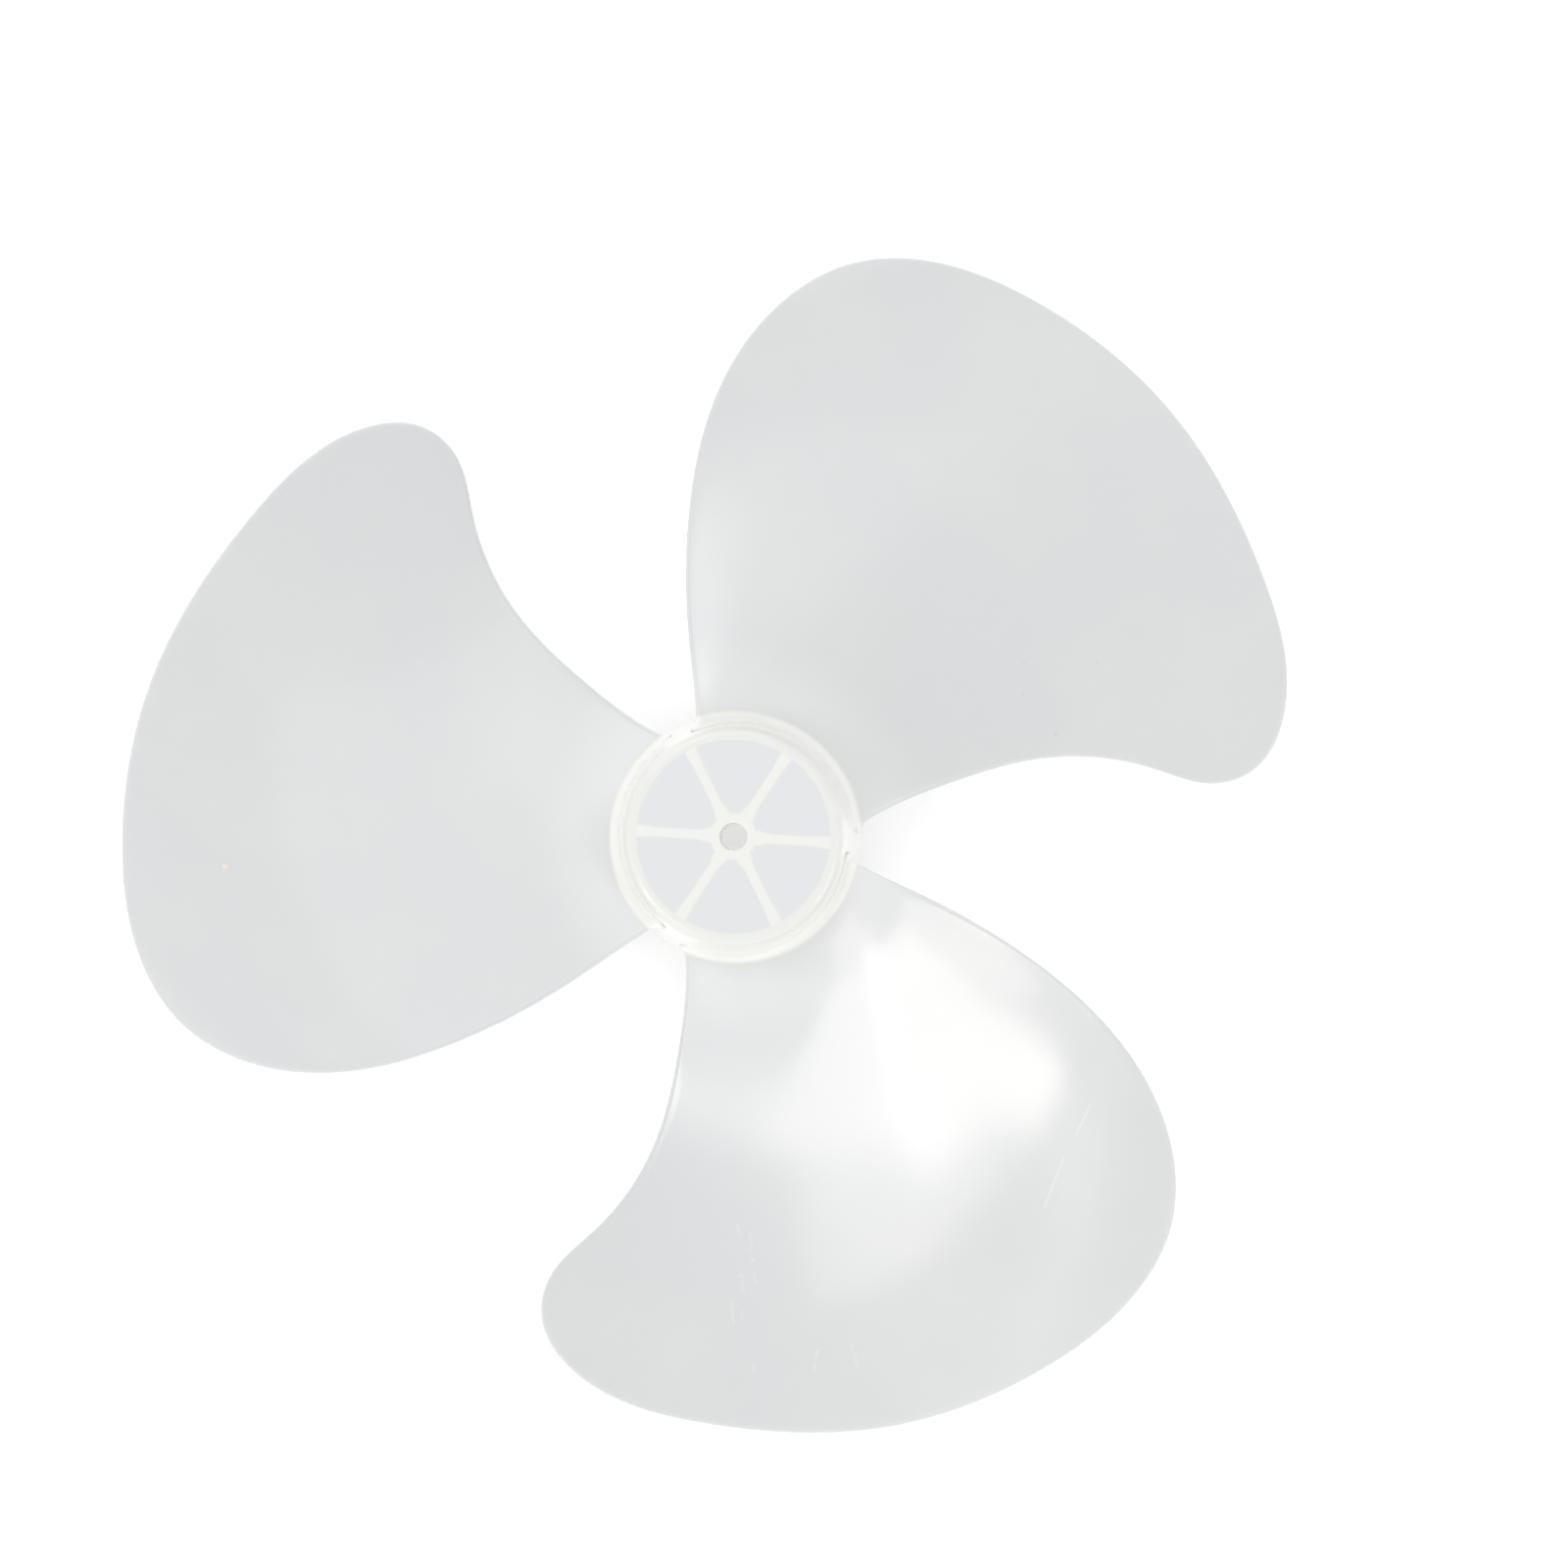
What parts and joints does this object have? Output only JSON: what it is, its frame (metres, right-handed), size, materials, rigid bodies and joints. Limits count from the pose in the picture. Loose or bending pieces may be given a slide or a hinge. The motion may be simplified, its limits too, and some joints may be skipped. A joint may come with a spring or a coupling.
{
  "type": "pedestal fan blade",
  "caption": "Moulded fan impeller: forward-swept twisted blades on a tapered hub cup with a keyed shaft bore, pushes air along its axis on a pedestal fan.",
  "frame": {"origin": "centre of the shaft bore at the hub's flat front disc", "axes": "+Z along the shaft axis towards the front, where the air goes; +X along the hub rib that points at the gap between two blades"},
  "size_m": [0.3377, 0.3453, 0.0551],
  "materials": {
    "translucent_plastic": "glossy translucent white moulding"
  },
  "bodies": {
    "root": {"fan_blade": "translucent_plastic"}
  },
  "joints": []
}
